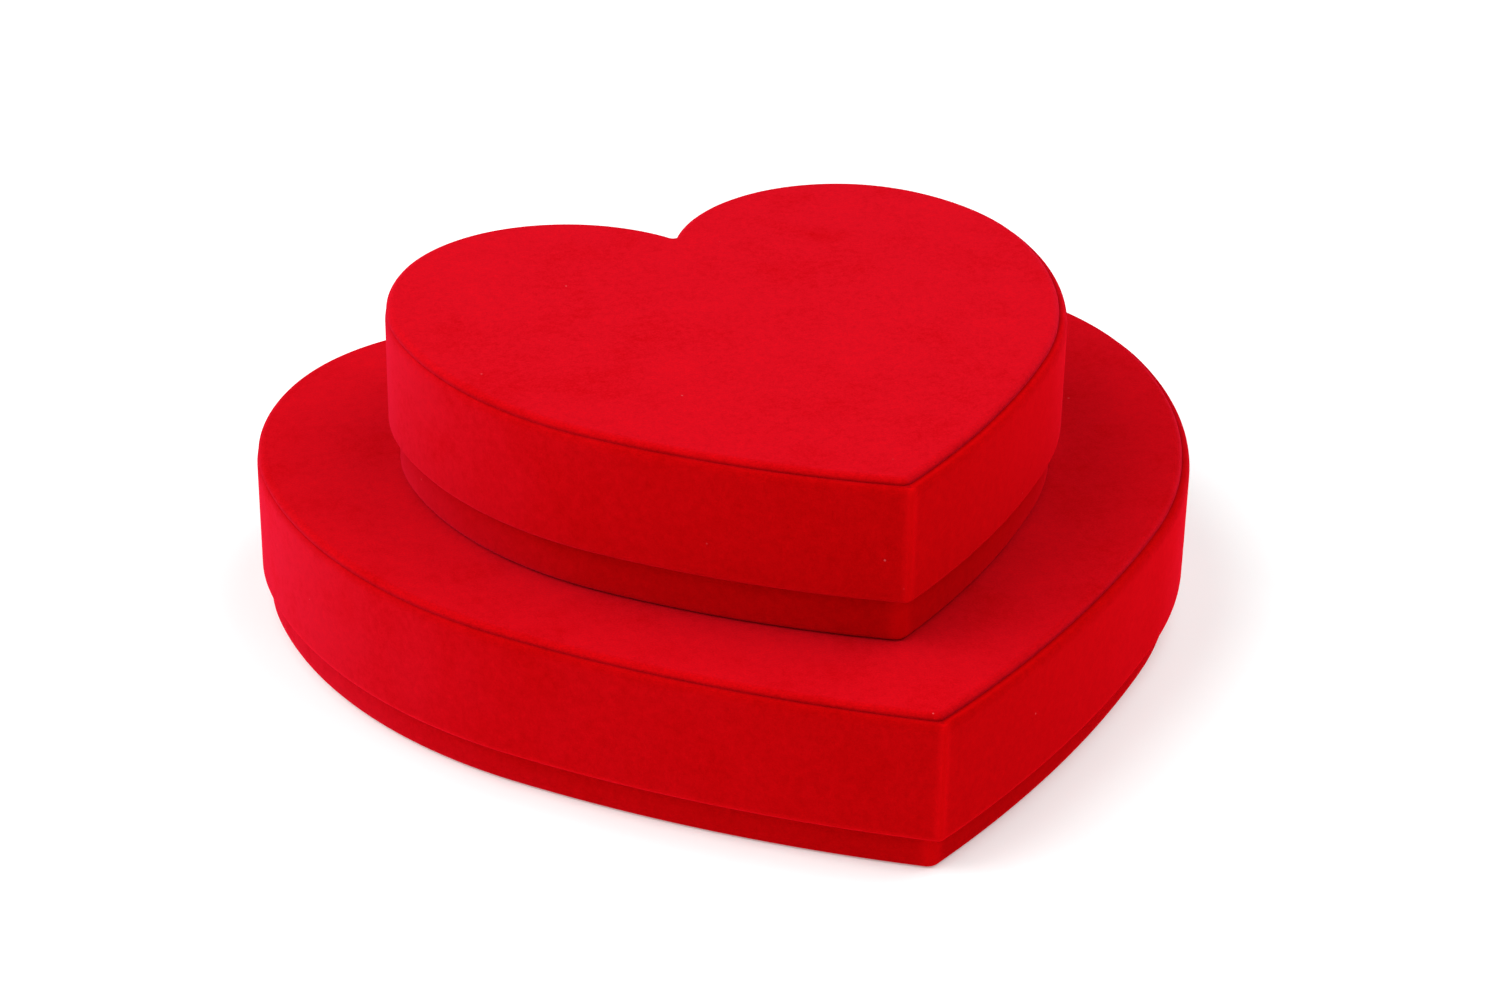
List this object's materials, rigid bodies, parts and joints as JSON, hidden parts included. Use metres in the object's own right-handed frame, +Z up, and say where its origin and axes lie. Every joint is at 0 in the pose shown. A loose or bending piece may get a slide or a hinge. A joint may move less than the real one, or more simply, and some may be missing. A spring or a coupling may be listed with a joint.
{
  "type": "heart gift box set",
  "caption": "Stack of heart-shaped velvet gift boxes, a small one on a large one, each a shallow base under a lift-off lid with a covered panel on a rolled frame.",
  "frame": {"origin": "centre of the large box's footprint, on the table", "axes": "+Z up, +X across the large heart, -Y towards its tip, which is the front"},
  "size_m": [0.28, 0.268, 0.0988],
  "materials": {
    "velvet": "short red pile with a soft sheen",
    "board": "plain grey board",
    "lining_paper": "matt off-white paper",
    "bottom_paper": "matt dark red paper"
  },
  "bodies": {
    "large_base": {"large_base_bottom_sheet": "bottom_paper", "large_base_floor_board": "board", "large_base_wall_left": "board", "large_base_wall_right": "board", "large_base_side_wrap": "velvet", "large_base_floor_lining": "lining_paper", "large_base_wall_lining": "lining_paper"},
    "large_lid": {"large_lid_wall_left": "board", "large_lid_wall_right": "board", "large_lid_side_wrap": "velvet", "large_lid_panel_board": "board", "large_lid_panel_cover": "velvet", "large_lid_panel_lining": "lining_paper", "large_lid_wall_lining": "lining_paper"},
    "small_base": {"small_base_bottom_sheet": "bottom_paper", "small_base_floor_board": "board", "small_base_wall_left": "board", "small_base_wall_right": "board", "small_base_side_wrap": "velvet", "small_base_floor_lining": "lining_paper", "small_base_wall_lining": "lining_paper"},
    "small_lid": {"small_lid_wall_left": "board", "small_lid_wall_right": "board", "small_lid_side_wrap": "velvet", "small_lid_panel_board": "board", "small_lid_panel_cover": "velvet", "small_lid_panel_lining": "lining_paper", "small_lid_wall_lining": "lining_paper"}
  },
  "joints": [
    {"name": "large_lid_lift", "type": "slide", "parent": "large_base", "child": "large_lid", "axis": [0, 0, 1], "range_m": [0, 0.09]},
    {"name": "small_box_lift", "type": "slide", "parent": "large_lid", "child": "small_base", "axis": [0, 0, 1], "range_m": [0, 0.09]},
    {"name": "small_lid_lift", "type": "slide", "parent": "small_base", "child": "small_lid", "axis": [0, 0, 1], "range_m": [0, 0.09]}
  ]
}
